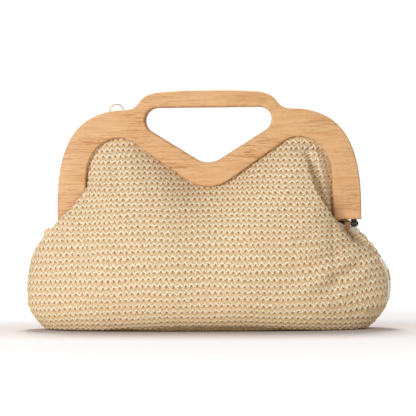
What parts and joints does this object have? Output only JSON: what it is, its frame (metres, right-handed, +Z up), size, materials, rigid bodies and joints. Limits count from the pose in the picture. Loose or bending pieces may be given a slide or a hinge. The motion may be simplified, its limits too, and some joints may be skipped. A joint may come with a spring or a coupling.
{
  "type": "clutch purse",
  "caption": "Clutch purse with hinged wooden frame plates, a hand slot through the frame and a lined pouch of woven straw cloth that opens at the top.",
  "frame": {"origin": "on the floor under the middle of the base", "axes": "+X along the length towards the right hinge, +Y towards the back plate with the strap rings, +Z up"},
  "size_m": [0.3438, 0.0992, 0.2238],
  "materials": {
    "wood": "satin beech",
    "wood_strip": "satin",
    "screw_steel": "satin",
    "magnet": "polished",
    "hinge_metal": "dark satin",
    "leather_tab": "matte",
    "straw_cloth": "matte weave",
    "lining_cotton": "matte",
    "fibreboard": "matte",
    "label_tape": "matte",
    "label_bar": "matte",
    "gold_metal": "polished"
  },
  "bodies": {
    "bag": {"front_panel": "straw_cloth", "back_panel": "straw_cloth", "front_lining": "lining_cotton", "back_lining": "lining_cotton", "base_panel": "straw_cloth", "base_board": "fibreboard", "base_lining": "lining_cotton", "hinge_pin_left": "hinge_metal", "hinge_pin_right": "hinge_metal", "hinge_tab_left": "leather_tab", "hinge_tab_right": "leather_tab", "side_label": "label_tape", "side_label_bar": "label_bar"},
    "front_frame_half": {"front_frame": "wood", "front_retaining_strip": "wood_strip", "front_strip_screw_1": "screw_steel", "front_strip_screw_2": "screw_steel", "front_strip_screw_3": "screw_steel", "front_strip_screw_4": "screw_steel", "front_strip_screw_5": "screw_steel", "front_strip_screw_6": "screw_steel", "front_strip_screw_7": "screw_steel", "front_hinge_leaf_left": "hinge_metal", "front_hinge_screw_left_1": "screw_steel", "front_hinge_screw_left_2": "screw_steel", "front_magnet_left": "magnet", "front_hinge_leaf_right": "hinge_metal", "front_hinge_screw_right_1": "screw_steel", "front_hinge_screw_right_2": "screw_steel", "front_magnet_right": "magnet"},
    "back_frame_half": {"back_frame": "wood", "back_retaining_strip": "wood_strip", "back_strip_screw_1": "screw_steel", "back_strip_screw_2": "screw_steel", "back_strip_screw_3": "screw_steel", "back_strip_screw_4": "screw_steel", "back_strip_screw_5": "screw_steel", "back_strip_screw_6": "screw_steel", "back_strip_screw_7": "screw_steel", "back_hinge_leaf_left": "hinge_metal", "back_hinge_screw_left_1": "screw_steel", "back_hinge_screw_left_2": "screw_steel", "back_magnet_left": "magnet", "back_hinge_leaf_right": "hinge_metal", "back_hinge_screw_right_1": "screw_steel", "back_hinge_screw_right_2": "screw_steel", "back_magnet_right": "magnet", "strap_eye_left": "gold_metal", "strap_eye_right": "gold_metal"},
    "left_ring": {"strap_ring_left": "gold_metal"},
    "right_ring": {"strap_ring_right": "gold_metal"}
  },
  "joints": [
    {"name": "front_frame_hinge", "type": "hinge", "parent": "bag", "child": "front_frame_half", "pos_m": [0, 0, 0.0981], "axis": [1, 0, 0], "range_deg": [0, 35], "deforming": ["front_panel", "front_lining"]},
    {"name": "back_frame_hinge", "type": "hinge", "parent": "bag", "child": "back_frame_half", "pos_m": [0, 0, 0.0981], "axis": [-1, 0, 0], "range_deg": [0, 35], "deforming": ["back_panel", "back_lining"]},
    {"name": "left_ring_hinge", "type": "hinge", "parent": "back_frame_half", "child": "left_ring", "pos_m": [-0.0883, 0.0148, 0.1997], "axis": [-1, 0, 0], "range_deg": [0, 186]},
    {"name": "right_ring_hinge", "type": "hinge", "parent": "back_frame_half", "child": "right_ring", "pos_m": [0.0883, 0.0148, 0.1997], "axis": [1, 0, 0], "range_deg": [0, 186]}
  ],
  "couplings": [
    {"joint": "back_frame_hinge", "follows": "front_frame_hinge", "ratio": 1}
  ]
}
